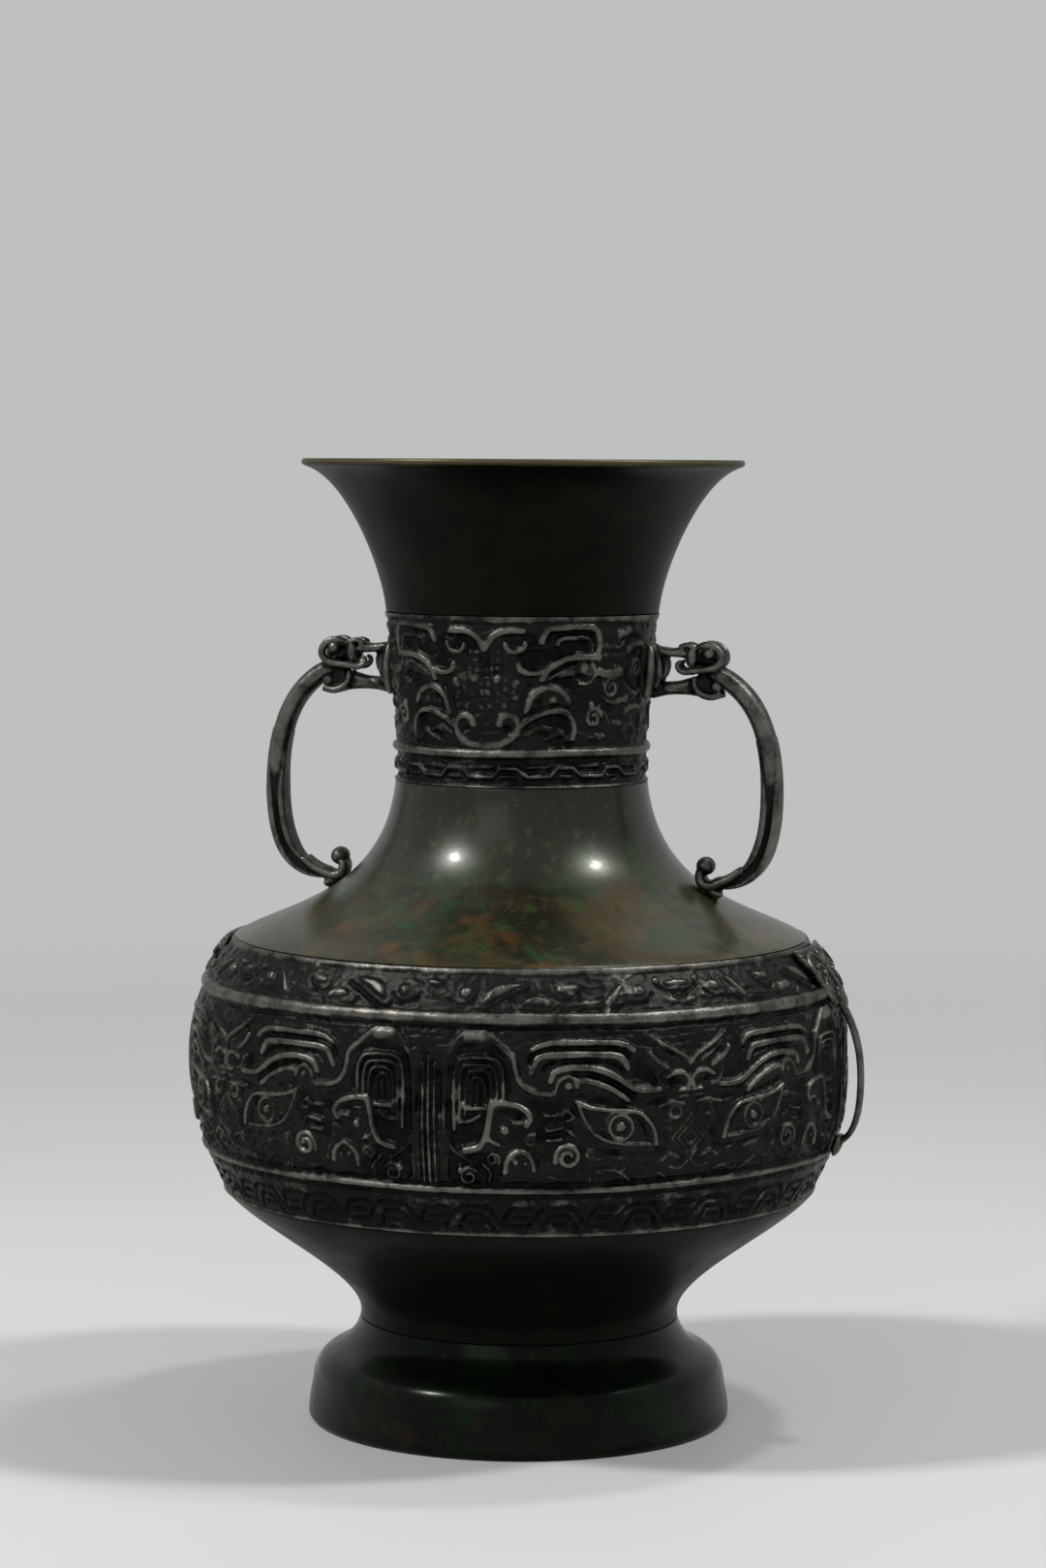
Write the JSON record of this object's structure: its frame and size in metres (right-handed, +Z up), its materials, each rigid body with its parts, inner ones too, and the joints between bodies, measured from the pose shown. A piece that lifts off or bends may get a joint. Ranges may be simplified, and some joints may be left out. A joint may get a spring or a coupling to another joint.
{
  "type": "bronze vase",
  "caption": "Archaic-style cast bronze vase with a flared mouth, relief bands on neck and belly, curled beast-head neck handles and low belly loops, standing on a domed foot.",
  "frame": {"origin": "centre of the foot's underside, on the surface the vase stands on", "axes": "+Z up along the vase's axis; +X through the right-hand handles; -Y is the front, where two of the belly's masks meet"},
  "size_m": [0.2394, 0.225, 0.33],
  "materials": {
    "plain_bronze": "dark brown-black patinated bronze, waxed, with a worn olive lip",
    "mottled_bronze": "glossy patina mottled in green, rust and olive",
    "relief_bronze": "grey-brown bronze, darker in the recesses and rubbed on the high lines",
    "foot_bronze": "glossy dark green-black patina",
    "rivet_bronze": "bare cast bronze, dulled"
  },
  "bodies": {
    "root": {"foot_ring": "foot_bronze", "base_plate": "plain_bronze", "lower_bowl": "plain_bronze", "belly_band": "relief_bronze", "shoulder": "mottled_bronze", "neck_band": "relief_bronze", "mouth_flare": "plain_bronze", "right_neck_handle": "relief_bronze", "left_neck_handle": "relief_bronze", "right_belly_handle": "relief_bronze", "left_belly_handle": "relief_bronze", "right_neck_handle_head_rivet": "rivet_bronze", "left_neck_handle_head_rivet": "rivet_bronze", "right_neck_handle_curl_rivet": "rivet_bronze", "left_neck_handle_curl_rivet": "rivet_bronze", "right_belly_handle_upper_rivet": "rivet_bronze", "left_belly_handle_upper_rivet": "rivet_bronze", "right_belly_handle_lower_rivet": "rivet_bronze", "left_belly_handle_lower_rivet": "rivet_bronze"}
  },
  "joints": []
}
